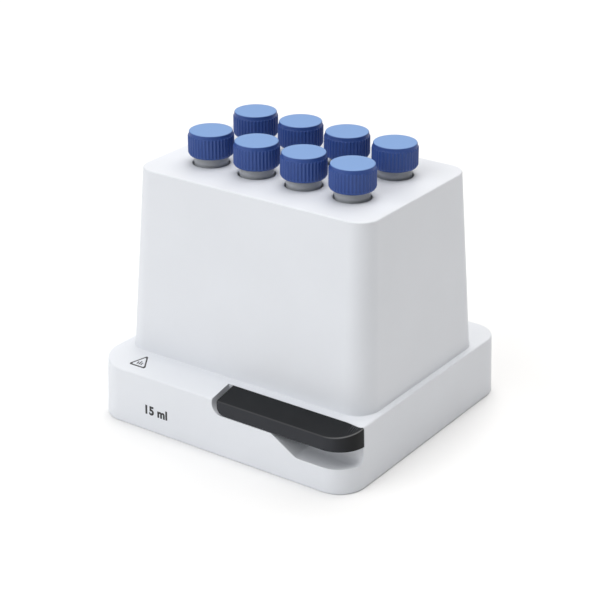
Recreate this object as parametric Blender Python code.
"""Exchangeable tempering block for a laboratory mixer, holding eight 15 ml screw-cap tubes.

Frame: the origin is on the floor below the middle of the block, +X to the right, +Y to the back
and +Z up. All dimensions below are in millimetres, and add_object() turns them into metres.
"""
import math

import bmesh
import bpy
from mathutils import Vector

# ---------------------------------------------------------------- driving dimensions (mm)
BASE_W, BASE_D, BASE_H = 148.4, 140.5, 31.0     # foot of the housing and height of its ledge
BASE_R, BASE_INSET = 14.0, 0.84                 # corner radius, and how far each wall leans in
LEDGE_BEND_Y, LEDGE_DROP = -56.25, 2.7          # in front of this line the ledge slopes down
LEDGE_W, LEDGE_R = 142.5, 13.0                  # width and corner radius of the ledge's level part
EDGE_ROUND = 0.8                                # rounding of the ledge's outer edge
FOOT_ROUND = 0.5                                # hollow rounding where the hood meets the ledge
HOOD_FOOT_W, HOOD_FOOT_D, HOOD_FOOT_R = 140.2, 102.4, 12.0
HOOD_TOP_W, HOOD_TOP_D, HOOD_TOP_R = 130.8, 89.2, 10.0
HOOD_TOP_Z = 122.2
HOOD_ROUND = 0.7
WALL = 2.5
CLEAR = 0.3                                     # gap between pieces that touch

COLUMNS, ROWS = 4, 2
PITCH_X, PITCH_Y = 26.8, 35.6
HOLE_R = 9.0
TUBE_R, TUBE_WALL = 8.3, 1.1
TUBE_TIP_Z, TUBE_MOUTH_Z = 18.3, 136.2
CONE_H = 22.0
CAP_R, CAP_BOTTOM_Z, CAP_TOP_Z = 11.0, 126.5, 138.3

BLOCK_W, BLOCK_D, BLOCK_R = 108.0, 66.0, 5.0
BLOCK_BOTTOM_Z, BLOCK_TOP_Z = 14.0, 114.0
JACKET_WALL, JACKET_TOP_Z = 5.5, 116.0
PLATE_W, PLATE_D, PLATE_T = 127.0, 91.0, 4.0    # contact plate under the block
RECESS_W, RECESS_D = 122.0, 86.0                # opening that the drive's plate enters
COLLAR_WALL = 2.2
FRAME_BOTTOM_Z, FRAME_TOP_Z = 0.6, 4.0

LEVER_LEFT_X, LEVER_BACK_Y = 0.2, -56.5
LEVER_BOTTOM_Z = 21.4
PIVOT_X, PIVOT_Z = 4.4, 25.6
PIVOT_ROUND = 4.2                               # rounded lower end of the lever, about its shaft
POCKET_LEFT_X, POCKET_ROUND = -2.7, 5.2         # the pocket's end wall and its lower corner
POCKET_BACK_Y, POCKET_WALL = -56.2, 2.0
SCOOP_LEFT_X, SCOOP_FLOOR_X, SCOOP_FLOOR_Z = 30.8, 45.6, 12.7
SCOOP_ROUND = 4.0                               # between the scoop's floor and its back wall
SHAFT_R, BUSH_R = 1.5, 3.0

CRANK_R, CRANK_SWING = 6.0, 50.0                # peg radius, and how far the lever lifts (degrees)
PEG_R = 1.2
CRANK_FRONT_Y, CRANK_BACK_Y = -52.9, -50.9
SLIDE_FRONT_Y, SLIDE_BACK_Y = -50.5, -49.0
SLIDE_LEFT_X, SLIDE_RIGHT_X = -53.0, 37.0
SLIDE_BOTTOM_Z, SLIDE_TOP_Z, FORK_TOP_Z = 7.0, 16.0, 23.4
HOOK_W, HOOK_REACH_Y = 6.0, -40.8
GUIDE_XS = (-30.0, 18.0)
GUIDE_W, GUIDE_H = 8.0, 9.0
FRAME_SCREW_X, FRAME_SCREW_Y = 62.0, 57.5
PLATE_SCREW_X, PLATE_SCREW_Y = 26.8, 27.5
BOSS_R = 4.6

ROUND_STEPS = 3                                 # facets in a small rounding
CORNER_STEPS = 6                                # facets in an upright corner
TUBE_SEGS, HOLE_SEGS, SMALL_SEGS = 20, 32, 16


# ---------------------------------------------------------------- scene and materials
def clear_scene():
    for old in list(bpy.data.objects):
        bpy.data.objects.remove(old, do_unlink=True)


def material(name, colour, roughness, metallic=0.0, alpha=1.0):
    made = bpy.data.materials.new(name)
    made.use_nodes = True
    shader = made.node_tree.nodes["Principled BSDF"]
    shader.inputs["Base Color"].default_value = (*colour, 1.0)
    shader.inputs["Roughness"].default_value = roughness
    shader.inputs["Metallic"].default_value = metallic
    shader.inputs["Alpha"].default_value = alpha
    return made


# ---------------------------------------------------------------- mesh helpers
def add_object(name, bm, origin=(0.0, 0.0, 0.0), look=None):
    """Turn bm, drawn in world millimetres, into an object whose origin is at origin (mm)."""
    bmesh.ops.recalc_face_normals(bm, faces=bm.faces)
    shift = Vector(origin)
    for vert in bm.verts:
        vert.co = (vert.co - shift) * 0.001
    mesh = bpy.data.meshes.new(name)
    bm.to_mesh(mesh)
    bm.free()
    made = bpy.data.objects.new(name, mesh)
    made.location = shift * 0.001
    bpy.context.collection.objects.link(made)
    if look is not None:
        mesh.materials.append(look)
        mesh.shade_smooth()
        mesh.set_sharp_from_angle(angle=math.radians(32.0))
    return made


def as_guide(made):
    """Mark a cutter or a guide body, which is not a piece of the block."""
    made.hide_render = True
    made.display_type = "WIRE"
    return made


def boolean(target, other, operation="DIFFERENCE"):
    step = target.modifiers.new(operation.lower(), "BOOLEAN")
    step.operation = operation
    step.solver = "EXACT"
    step.object = other


def bridge(bm, rings):
    """Join neighbouring rings of vertices with quads."""
    for low, high in zip(rings, rings[1:]):
        count = len(low)
        for i in range(count):
            j = (i + 1) % count
            bm.faces.new((low[i], low[j], high[j], high[i]))


def rounded_rectangle(width, depth, radius):
    """Corner-rounded rectangle about the origin, anticlockwise from the right wall."""
    points = []
    for turn, (sx, sy) in enumerate(((1, 1), (-1, 1), (-1, -1), (1, -1))):
        cx = sx * (width / 2 - radius)
        cy = sy * (depth / 2 - radius)
        for k in range(CORNER_STEPS + 1):
            angle = math.radians(90.0 * (turn + k / CORNER_STEPS))
            points.append((cx + radius * math.cos(angle), cy + radius * math.sin(angle)))
    return points


def ledge_drop(y, z):
    """How far a point of the base is lowered for the slope of the ledge's front part."""
    share = min(1.0, max(0.0, (z - LEVER_BOTTOM_Z) / (BASE_H - EDGE_ROUND - LEVER_BOTTOM_Z)))
    run = LEDGE_BEND_Y + BASE_D / 2 - BASE_INSET
    return LEDGE_DROP * share * max(0.0, LEDGE_BEND_Y - y) / run


def loft(name, sections, look=None):
    """Closed body through (width, depth, radius, z) sections, capped at its first and last."""
    bm = bmesh.new()
    rings = []
    for width, depth, radius, z in sections:
        outline = rounded_rectangle(width, depth, radius)
        rings.append([bm.verts.new((x, y, z - ledge_drop(y, z))) for x, y in outline])
    bridge(bm, rings)
    bm.faces.new(rings[0])
    bm.faces.new(rings[-1])
    return add_object(name, bm, look=look)


def frame_loft(name, sections, look=None):
    """Closed ring-shaped body: the sections run round its wall and return to the first."""
    bm = bmesh.new()
    rings = []
    for width, depth, radius, z in sections:
        outline = rounded_rectangle(width, depth, radius)
        rings.append([bm.verts.new((x, y, z)) for x, y in outline])
    bridge(bm, rings + rings[:1])
    return add_object(name, bm, look=look)


def add_turned(bm, profile, segments, centre=(0.0, 0.0), axis="Z"):
    """Add a body turned about axis through centre from (radius, height) pairs.

    A pair with radius 0 closes the body there; otherwise the profile closes on itself.
    """
    def place(radius, height, angle):
        across = radius * math.cos(angle)
        along = radius * math.sin(angle)
        if axis == "Z":
            return (centre[0] + across, centre[1] + along, height)
        return (centre[0] + across, height, centre[1] + along)

    rings = []
    for radius, height in profile:
        if radius == 0.0:
            rings.append([bm.verts.new(place(0.0, height, 0.0))])
            continue
        turn = 2.0 * math.pi / segments
        rings.append([bm.verts.new(place(radius, height, turn * i)) for i in range(segments)])
    closed = len(rings[0]) > 1
    pairs = list(zip(rings, rings[1:] + rings[:1])) if closed else list(zip(rings, rings[1:]))
    for low, high in pairs:
        for i in range(segments):
            j = (i + 1) % segments
            corners = []
            for vert in (low[i % len(low)], low[j % len(low)], high[j % len(high)], high[i % len(high)]):
                if vert not in corners:
                    corners.append(vert)
            bm.faces.new(corners)


def turned(name, profile, segments, centre=(0.0, 0.0), axis="Z", origin=(0.0, 0.0, 0.0), look=None):
    bm = bmesh.new()
    add_turned(bm, profile, segments, centre, axis)
    return add_object(name, bm, origin, look)


def rod_profile(radius, start, end):
    return [(0.0, start), (radius, start), (radius, end), (0.0, end)]


def pipe_profile(inner, outer, start, end):
    return [(inner, start), (outer, start), (outer, end), (inner, end)]


def add_box(bm, low, high):
    verts = bmesh.ops.create_cube(bm, size=1.0)["verts"]
    for vert in verts:
        for i in range(3):
            vert.co[i] = low[i] if vert.co[i] < 0 else high[i]


def box(name, low, high, origin=(0.0, 0.0, 0.0), look=None):
    bm = bmesh.new()
    add_box(bm, low, high)
    return add_object(name, bm, origin, look)


def slab(name, outline, front, back, origin=(0.0, 0.0, 0.0), look=None):
    """Body with an outline in X and Z, running in Y from front to back."""
    bm = bmesh.new()
    near = [bm.verts.new((x, front, z)) for x, z in outline]
    far = [bm.verts.new((x, back, z)) for x, z in outline]
    bridge(bm, [near, far])
    bm.faces.new(near)
    bm.faces.new(far)
    return add_object(name, bm, origin, look)


def prism(name, outline, left, right, look=None):
    """Body with a (y, z) outline that runs from left to right along X."""
    bm = bmesh.new()
    near = [bm.verts.new((left, y, z)) for y, z in outline]
    far = [bm.verts.new((right, y, z)) for y, z in outline]
    bridge(bm, [near, far])
    bm.faces.new(near)
    bm.faces.new(far)
    return add_object(name, bm, look=look)


def arc(cx, cy, radius, start, end, steps):
    """Points on an arc, from start to end in degrees."""
    points = []
    for k in range(steps + 1):
        angle = math.radians(start + (end - start) * k / steps)
        points.append((cx + radius * math.cos(angle), cy + radius * math.sin(angle)))
    return points


# ---------------------------------------------------------------- the housing's own shape
def base_section(z, inset=0.0):
    """Section of the base's outside at height z, moved in by inset."""
    lean = BASE_INSET * z / BASE_H + inset
    return BASE_W - 2 * lean, BASE_D - 2 * lean, BASE_R - inset, z


def hood_section(z, inset=0.0):
    """Section of the hood's outside at height z, moved in by inset."""
    t = (z - BASE_H) / (HOOD_TOP_Z - BASE_H)
    width = HOOD_FOOT_W + (HOOD_TOP_W - HOOD_FOOT_W) * t - 2 * inset
    depth = HOOD_FOOT_D + (HOOD_TOP_D - HOOD_FOOT_D) * t - 2 * inset
    return width, depth, HOOD_FOOT_R + (HOOD_TOP_R - HOOD_FOOT_R) * t - inset, z


def rounding(section, z_edge, radius, outward=False):
    """Sections that turn a wall over at z_edge: inward over an edge, or up out of a hollow."""
    made = []
    for k in range(ROUND_STEPS + 1):
        angle = math.radians(90.0 * k / ROUND_STEPS)
        if outward:
            z = z_edge + radius * (1 - math.cos(angle))
            inset = -radius * (1 - math.sin(angle))
        else:
            z = z_edge - radius * (1 - math.sin(angle))
            inset = radius * (1 - math.cos(angle))
        made.append(section(z, inset)[:3] + (z,))
    return made


def base_outside():
    """The base's outside up to the level part of its ledge."""
    ledge = (LEDGE_W, -2 * LEDGE_BEND_Y, LEDGE_R, BASE_H)
    return [base_section(0.0)] + rounding(base_section, BASE_H, EDGE_ROUND) + [ledge]


def tube_places():
    """Centre of each tube: the front row from left to right, then the back row."""
    places = []
    for row in range(ROWS):
        for column in range(COLUMNS):
            places.append(((column - (COLUMNS - 1) / 2) * PITCH_X, (row - (ROWS - 1) / 2) * PITCH_Y))
    return places


def corner_places(x, y):
    return [(sx * x, sy * y) for sx, sy in ((-1, -1), (1, -1), (1, 1), (-1, 1))]


def housing_cutters():
    """Tools that cut the tube holes, the lever's pocket, the finger scoop and the bores."""
    bm = bmesh.new()
    for place in tube_places():
        add_turned(bm, rod_profile(HOLE_R, HOOD_TOP_Z - 3 * WALL, HOOD_TOP_Z + WALL), HOLE_SEGS, place)
    holes = add_object("cut_tube_holes", bm)
    floor = LEVER_BOTTOM_Z - CLEAR
    outline = arc(POCKET_LEFT_X + POCKET_ROUND, floor + POCKET_ROUND, POCKET_ROUND, 180, 270, 5)
    outline += [(BASE_W, floor), (BASE_W, BASE_H + WALL), (POCKET_LEFT_X, BASE_H + WALL)]
    pocket = slab("cut_lever_pocket", outline, -BASE_D, POCKET_BACK_Y)
    bore = turned("cut_bush_bore", rod_profile(BUSH_R + CLEAR, POCKET_BACK_Y - 1, POCKET_BACK_Y + 4),
                  SMALL_SEGS, (PIVOT_X, PIVOT_Z), "Y")
    bm = bmesh.new()
    for place in corner_places(FRAME_SCREW_X, FRAME_SCREW_Y):
        add_turned(bm, rod_profile(1.6, FRAME_TOP_Z - 1, 11.0), 12, place)
    pilots = add_object("cut_boss_pilots", bm)
    outline = [(SCOOP_LEFT_X, LEVER_BOTTOM_Z), (SCOOP_FLOOR_X, SCOOP_FLOOR_Z),
               (BASE_W, SCOOP_FLOOR_Z), (BASE_W, LEVER_BOTTOM_Z)]
    scoop = slab("cut_finger_scoop", outline, -BASE_D, POCKET_BACK_Y)
    section = arc(POCKET_BACK_Y - SCOOP_ROUND, SCOOP_FLOOR_Z + SCOOP_ROUND, SCOOP_ROUND, 270, 360, 4)
    section += [(POCKET_BACK_Y, BASE_H), (-2 * BASE_D, BASE_H), (-2 * BASE_D, SCOOP_FLOOR_Z)]
    boolean(scoop, as_guide(prism("guide_scoop_section", section, 0.0, 2 * BASE_W)), "INTERSECT")
    return [as_guide(made) for made in (holes, pocket, bore, pilots, scoop)]


def make_housing(look):
    outer = base_outside()
    outer += rounding(hood_section, BASE_H, FOOT_ROUND, outward=True)
    outer += rounding(hood_section, HOOD_TOP_Z, HOOD_ROUND)
    inner = [base_section(0.0, WALL), base_section(BASE_H - WALL, WALL),
             hood_section(BASE_H - WALL, WALL), hood_section(HOOD_TOP_Z - WALL, WALL)]
    shell = loft("housing_shell", inner[::-1] + outer, look)

    body = as_guide(loft("guide_base_body", [base_section(0.2, 1.0), base_section(BASE_H - 2.0, 1.0)]))
    back = POCKET_BACK_Y + POCKET_WALL
    lining = box("guide_pocket_lining", (POCKET_LEFT_X - WALL, -BASE_D, LEVER_BOTTOM_Z - 3.0),
                 (BASE_W, back, BASE_H - 1.0))
    boolean(lining, body, "INTERSECT")
    scoop_lining = box("guide_scoop_lining", (SCOOP_LEFT_X - WALL, -BASE_D, SCOOP_FLOOR_Z - WALL),
                       (BASE_W, back, LEVER_BOTTOM_Z))
    boolean(scoop_lining, body, "INTERSECT")
    boolean(lining, as_guide(scoop_lining), "UNION")
    boolean(shell, as_guide(lining), "UNION")

    bm = bmesh.new()
    for place in corner_places(FRAME_SCREW_X, FRAME_SCREW_Y):
        add_turned(bm, rod_profile(BOSS_R, FRAME_TOP_Z + CLEAR, BASE_H - 1.2), SMALL_SEGS, place)
    boolean(shell, as_guide(add_object("guide_bosses", bm)), "UNION")
    for cutter in housing_cutters():
        boolean(shell, cutter)
    return shell


# ---------------------------------------------------------------- frame, plate, block, jacket
def make_bottom_frame(look):
    """Plate that closes the housing's underside, with a collar round the drive's recess."""
    rim = base_section(FRAME_TOP_Z, WALL + CLEAR)
    opening_r = 5.0
    collar_r = opening_r + COLLAR_WALL
    collar_top = BLOCK_BOTTOM_Z - PLATE_T - 2 * CLEAR
    collar_w = RECESS_W + 2 * COLLAR_WALL
    collar_d = RECESS_D + 2 * COLLAR_WALL
    made = frame_loft("bottom_frame", [
        rim[:3] + (FRAME_BOTTOM_Z,), rim, (collar_w, collar_d, collar_r, FRAME_TOP_Z),
        (collar_w, collar_d, collar_r, collar_top), (RECESS_W, RECESS_D, opening_r, collar_top),
        (RECESS_W, RECESS_D, opening_r, FRAME_BOTTOM_Z)], look)
    bm = bmesh.new()
    travel = slide_travel()
    for x in hook_places():
        add_box(bm, (x - 1.0, -RECESS_D / 2 - COLLAR_WALL - 1, FRAME_TOP_Z),
                (x + HOOK_W + travel + 1.0, -RECESS_D / 2 + 1, SLIDE_BOTTOM_Z + 0.4))
    for place in corner_places(FRAME_SCREW_X, FRAME_SCREW_Y) + guide_screw_places():
        add_turned(bm, [(0.0, -1.0), (3.2, -1.0), (3.2, 2.6), (1.6, 2.6), (1.6, 5.0), (0.0, 5.0)], 12, place)
    boolean(made, as_guide(add_object("cut_frame", bm)))
    return made


def well_profile(extra, top):
    """Conical-bottomed tube shape, larger all round by extra."""
    return [(0.0, TUBE_TIP_Z - extra), (1.6 + extra, TUBE_TIP_Z - extra + 0.4),
            (TUBE_R - 0.4 + extra, TUBE_TIP_Z + CONE_H - 0.4), (TUBE_R + extra, TUBE_TIP_Z + CONE_H + 2.0),
            (TUBE_R + extra, top)]


def make_heat_block(look):
    chamfer = 1.0
    made = loft("heat_block", [
        (BLOCK_W, BLOCK_D, BLOCK_R, BLOCK_BOTTOM_Z), (BLOCK_W, BLOCK_D, BLOCK_R, BLOCK_TOP_Z - chamfer),
        (BLOCK_W - 2 * chamfer, BLOCK_D - 2 * chamfer, BLOCK_R - chamfer, BLOCK_TOP_Z)], look)
    bm = bmesh.new()
    for place in tube_places():
        add_turned(bm, well_profile(0.4, BLOCK_TOP_Z + 2) + [(0.0, BLOCK_TOP_Z + 2)], TUBE_SEGS, place)
    for place in corner_places(PLATE_SCREW_X, PLATE_SCREW_Y):
        add_turned(bm, rod_profile(1.9, BLOCK_BOTTOM_Z - 1, BLOCK_BOTTOM_Z + 9), 12, place)
    boolean(made, as_guide(add_object("cut_wells", bm)))
    return made


def make_contact_plate(look):
    top = BLOCK_BOTTOM_Z - CLEAR
    made = loft("contact_plate", [(PLATE_W, PLATE_D, 6.0, top - PLATE_T), (PLATE_W, PLATE_D, 6.0, top)], look)
    bm = bmesh.new()
    for place in corner_places(PLATE_SCREW_X, PLATE_SCREW_Y):
        add_turned(bm, [(0.0, top - PLATE_T - 1), (3.9, top - PLATE_T - 1), (3.9, top - PLATE_T + 0.4),
                        (2.0, top - PLATE_T + 2.4), (2.0, top + 1), (0.0, top + 1)], 12, place)
    boolean(made, as_guide(add_object("cut_plate_holes", bm)))
    return made


def make_jacket(look):
    inner_w, inner_d = BLOCK_W + 1.0, BLOCK_D + 1.0
    outer_w, outer_d = inner_w + 2 * JACKET_WALL, inner_d + 2 * JACKET_WALL
    bottom = BLOCK_BOTTOM_Z + CLEAR
    frame_loft("insulation_jacket", [
        (outer_w, outer_d, 9.0, bottom), (outer_w, outer_d, 9.0, JACKET_TOP_Z),
        (inner_w, inner_d, 5.5, JACKET_TOP_Z), (inner_w, inner_d, 5.5, bottom)], look)


# ---------------------------------------------------------------- lever and latch
def slide_travel():
    """How far the latch slide moves while the peg swings evenly about its lowest point."""
    return 2 * CRANK_R * math.sin(math.radians(CRANK_SWING / 2))


def peg_place():
    """Peg at rest, in X and Z."""
    angle = math.radians(270.0 - CRANK_SWING / 2)
    return PIVOT_X + CRANK_R * math.cos(angle), PIVOT_Z + CRANK_R * math.sin(angle)


def hook_places():
    return SLIDE_LEFT_X, SLIDE_RIGHT_X - HOOK_W


def guide_screw_places():
    middle = (SLIDE_FRONT_Y + SLIDE_BACK_Y) / 2
    return [(x, middle) for x in GUIDE_XS]


def make_lever(look):
    """Finger lever, flush with the base's top and front, round about its shaft at the left."""
    pivot = (PIVOT_X, 0.0, PIVOT_Z)
    made = slab("release_lever", arc(PIVOT_X, PIVOT_Z, PIVOT_ROUND, 180, 270, 6) + [
        (BASE_W / 2 + 5, LEVER_BOTTOM_Z), (BASE_W / 2 + 5, BASE_H + 5), (LEVER_LEFT_X, BASE_H + 5)],
        -BASE_D, LEVER_BACK_Y, pivot, look)
    boolean(made, as_guide(loft("guide_lever_outside", base_outside())), "INTERSECT")
    bore = turned("cut_lever_bore", rod_profile(SHAFT_R + CLEAR, -66.8, LEVER_BACK_Y + 1), SMALL_SEGS,
                  (PIVOT_X, PIVOT_Z), "Y")
    boolean(made, as_guide(bore))
    return made


def make_shaft(steel, plastic):
    pivot = (PIVOT_X, 0.0, PIVOT_Z)
    turned("lever_shaft", rod_profile(SHAFT_R, -66.4, CRANK_BACK_Y - 0.1), SMALL_SEGS,
           (PIVOT_X, PIVOT_Z), "Y", pivot, steel)
    turned("shaft_bush", pipe_profile(SHAFT_R + CLEAR, BUSH_R, POCKET_BACK_Y + 0.1,
                                      POCKET_BACK_Y + POCKET_WALL - 0.1), SMALL_SEGS,
           (PIVOT_X, PIVOT_Z), "Y", pivot, plastic)


def make_crank(look):
    """Arm on the shaft with a peg that moves the slide."""
    peg_x, peg_z = peg_place()
    toward = math.degrees(math.atan2(peg_z - PIVOT_Z, peg_x - PIVOT_X))
    outline = arc(PIVOT_X, PIVOT_Z, 2.3 + CLEAR, toward + 90, toward + 270, 8)
    outline += arc(peg_x, peg_z, 2.0, toward - 90, toward + 90, 6)
    made = slab("latch_crank", outline, CRANK_FRONT_Y, CRANK_BACK_Y, (PIVOT_X, 0.0, PIVOT_Z), look)
    bore = turned("cut_crank_bore", rod_profile(SHAFT_R + CLEAR, CRANK_FRONT_Y - 1, CRANK_BACK_Y + 1),
                  SMALL_SEGS, (PIVOT_X, PIVOT_Z), "Y")
    boolean(made, as_guide(bore))
    peg = turned("guide_peg", rod_profile(PEG_R, CRANK_FRONT_Y + 1, SLIDE_BACK_Y + 0.6), 12,
                 (peg_x, peg_z), "Y")
    boolean(made, as_guide(peg), "UNION")
    return made


def make_slide(look):
    """Sheet-metal slide with a fork for the peg and two hooks that reach into the recess."""
    peg_x, peg_z = peg_place()
    slot = PEG_R + 0.4
    arm = slot + 3.0
    left, right = hook_places()
    foot = FRAME_TOP_Z + 0.4
    outline = [(left, foot), (left + HOOK_W, foot), (left + HOOK_W, SLIDE_BOTTOM_Z),
               (right, SLIDE_BOTTOM_Z), (right, foot), (right + HOOK_W, foot), (right + HOOK_W, SLIDE_TOP_Z),
               (peg_x + arm, SLIDE_TOP_Z), (peg_x + arm, FORK_TOP_Z), (peg_x + slot, FORK_TOP_Z),
               (peg_x + slot, PIVOT_Z - CRANK_R - slot), (peg_x - slot, PIVOT_Z - CRANK_R - slot),
               (peg_x - slot, FORK_TOP_Z), (peg_x - arm, FORK_TOP_Z), (peg_x - arm, SLIDE_TOP_Z),
               (left, SLIDE_TOP_Z)]
    made = slab("latch_slide", outline, SLIDE_FRONT_Y, SLIDE_BACK_Y, look=look)
    bm = bmesh.new()
    for x in (left, right):
        add_box(bm, (x, SLIDE_BACK_Y - 0.5, foot), (x + HOOK_W, HOOK_REACH_Y, foot + 1.6))
    boolean(made, as_guide(add_object("guide_hook_feet", bm)), "UNION")
    return made


def make_guides(look, screw_look):
    """U-shaped guides for the slide, each held by a screw from below."""
    front, back = SLIDE_FRONT_Y - CLEAR, SLIDE_BACK_Y + CLEAR
    floor = SLIDE_BOTTOM_Z - CLEAR
    bottom = FRAME_TOP_Z + CLEAR
    middle = (front + back) / 2
    for side, x in zip(("left", "right"), GUIDE_XS):
        top = bottom + GUIDE_H
        outline = [(front - 2, bottom), (back + 2, bottom), (back + 2, top), (back, top),
                   (back, floor), (front, floor), (front, top), (front - 2, top)]
        made = prism("slide_guide_" + side, outline, x - GUIDE_W / 2, x + GUIDE_W / 2, look)
        pilot = turned("cut_guide_pilot_" + side, rod_profile(1.1, bottom - 1, floor - 0.5), 12, (x, middle))
        boolean(made, as_guide(pilot))
        make_screw("guide_screw_" + side, (x, middle), 0.8, 2.7, 1.8, 0.8, floor - 0.9, screw_look)


def make_screw(name, place, head_z, head_r, head_h, shank_r, end_z, look):
    """Screw driven upward: head below, shank above, with a cross-shaped drive left to the finish."""
    chamfer = 0.4
    turned(name, [(0.0, head_z), (head_r - chamfer, head_z), (head_r, head_z + chamfer),
                  (head_r, head_z + head_h - 0.1), (shank_r, head_z + head_h), (shank_r, end_z - 0.6),
                  (shank_r * 0.5, end_z), (0.0, end_z)], 12, place, "Z", (*place, head_z), look)


def make_screws(look):
    for number, place in enumerate(corner_places(FRAME_SCREW_X, FRAME_SCREW_Y), 1):
        make_screw(f"frame_screw_{number}", place, 0.8, 2.8, 1.4, 1.25, 10.2, look)
    plate_bottom = BLOCK_BOTTOM_Z - CLEAR - PLATE_T
    for number, place in enumerate(corner_places(PLATE_SCREW_X, PLATE_SCREW_Y), 1):
        turned(f"plate_screw_{number}", [(0.0, plate_bottom + 0.3), (3.4, plate_bottom + 0.3),
                                         (1.5, plate_bottom + 2.3), (1.5, BLOCK_BOTTOM_Z + 7.5),
                                         (0.8, BLOCK_BOTTOM_Z + 8.2), (0.0, BLOCK_BOTTOM_Z + 8.2)],
               12, place, "Z", (*place, plate_bottom), look)


# ---------------------------------------------------------------- tubes and caps
def make_tube(number, place, look):
    outer = well_profile(0.0, TUBE_MOUTH_Z)
    inside = TUBE_R - TUBE_WALL
    inner = [(inside, TUBE_MOUTH_Z), (inside, TUBE_TIP_Z + CONE_H + 2.0), (1.0, TUBE_TIP_Z + 2.2),
             (0.0, TUBE_TIP_Z + 1.6)]
    turned(f"tube_{number}", outer + inner, TUBE_SEGS, place, "Z", (*place, TUBE_TIP_Z), look)


def make_cap(number, place, look):
    inside = TUBE_R + 1.0
    roof = TUBE_MOUTH_Z + 0.4
    profile = [(0.0, CAP_TOP_Z), (CAP_R - 0.9, CAP_TOP_Z), (CAP_R - 0.2, CAP_TOP_Z - 1.3),
               (CAP_R, CAP_TOP_Z - 1.6), (CAP_R, CAP_BOTTOM_Z), (inside, CAP_BOTTOM_Z),
               (inside, roof), (0.0, roof)]
    turned(f"cap_{number}", profile, TUBE_SEGS, place, "Z", (*place, CAP_BOTTOM_Z), look)


def main():
    clear_scene()
    white = material("white_housing", (0.86, 0.87, 0.88), 0.42)
    grey = material("grey_frame", (0.30, 0.31, 0.33), 0.55)
    black = material("black_lever", (0.035, 0.036, 0.039), 0.48)
    alloy = material("machined_aluminium", (0.72, 0.73, 0.74), 0.32, 1.0)
    steel = material("zinc_steel", (0.62, 0.62, 0.63), 0.30, 1.0)
    foam = material("dark_foam", (0.10, 0.10, 0.11), 0.90)
    guide_white = material("guide_plastic", (0.78, 0.77, 0.73), 0.45)
    clear_plastic = material("tube_plastic", (0.70, 0.74, 0.77), 0.25, 0.0, 0.45)
    blue = material("blue_cap", (0.10, 0.20, 0.46), 0.38)

    make_housing(white)
    make_bottom_frame(grey)
    make_contact_plate(alloy)
    make_heat_block(alloy)
    make_jacket(foam)
    make_lever(black)
    make_shaft(steel, guide_white)
    make_crank(steel)
    make_slide(steel)
    make_guides(guide_white, steel)
    make_screws(steel)
    for number, place in enumerate(tube_places(), 1):
        make_tube(number, place, clear_plastic)
        make_cap(number, place, blue)


main()
